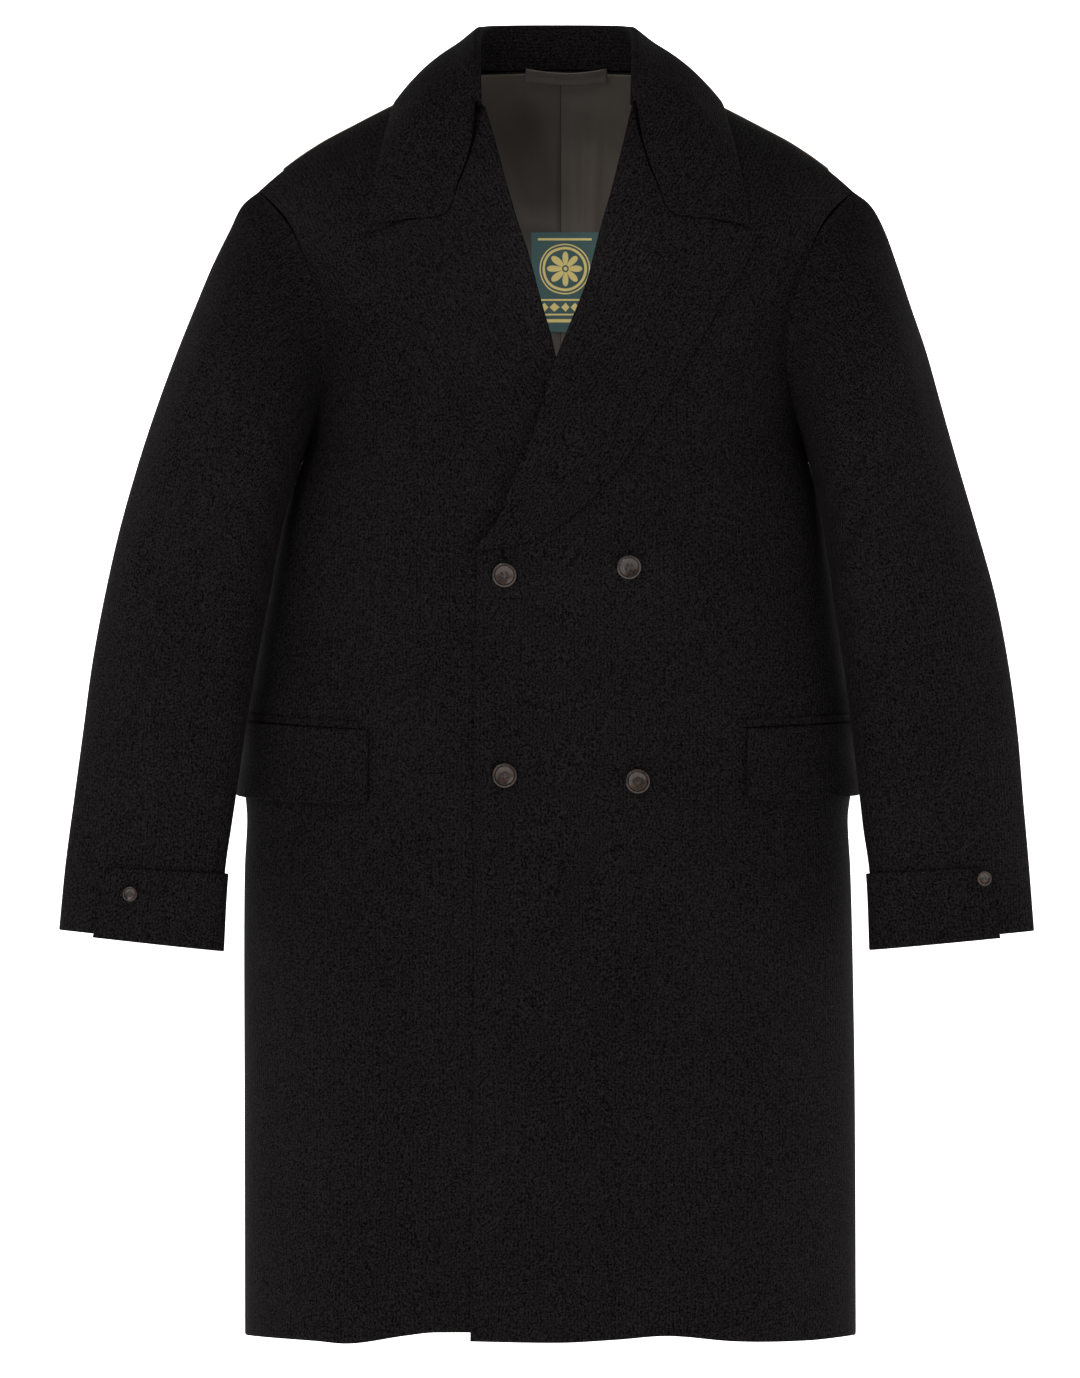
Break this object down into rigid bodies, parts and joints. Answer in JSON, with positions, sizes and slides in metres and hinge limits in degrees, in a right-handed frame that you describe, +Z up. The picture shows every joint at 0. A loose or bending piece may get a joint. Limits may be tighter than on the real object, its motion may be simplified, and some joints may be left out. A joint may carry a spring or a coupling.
{
  "type": "double-breasted coat",
  "caption": "Knee-length double-breasted wool coat with peaked lapels, flap pockets and turned cuffs, hollow and filled out as if worn.",
  "frame": {"origin": "between the shoulders, on the level of the seam of collar and back and over the shoulder seams", "axes": "+Z up along the coat's length, -Y out of its front, +X to the wearer's left"},
  "size_m": [0.8585, 0.2648, 1.1623],
  "materials": {
    "wool": "matt black wool with fine lengthwise ribs",
    "horn": "semi-gloss dark brown horn look",
    "satin": "dark warm grey satin",
    "woven_label": "dark green woven label with gold figures"
  },
  "bodies": {
    "root": {"front_left": "wool", "front_right": "wool", "back": "wool", "sleeve_left_top": "wool", "sleeve_left_under": "wool", "sleeve_right_top": "wool", "sleeve_right_under": "wool", "lapel_left": "wool", "lapel_right": "wool", "collar": "wool", "flap_left": "wool", "flap_right": "wool", "jet_left": "wool", "jet_right": "wool", "cuff_left": "wool", "cuff_right": "wool", "button_1": "horn", "button_2": "horn", "button_3": "horn", "button_4": "horn", "cuff_button_left": "horn", "cuff_button_right": "horn", "hanger_loop": "satin", "back_lining": "satin", "label": "woven_label"}
  },
  "joints": []
}
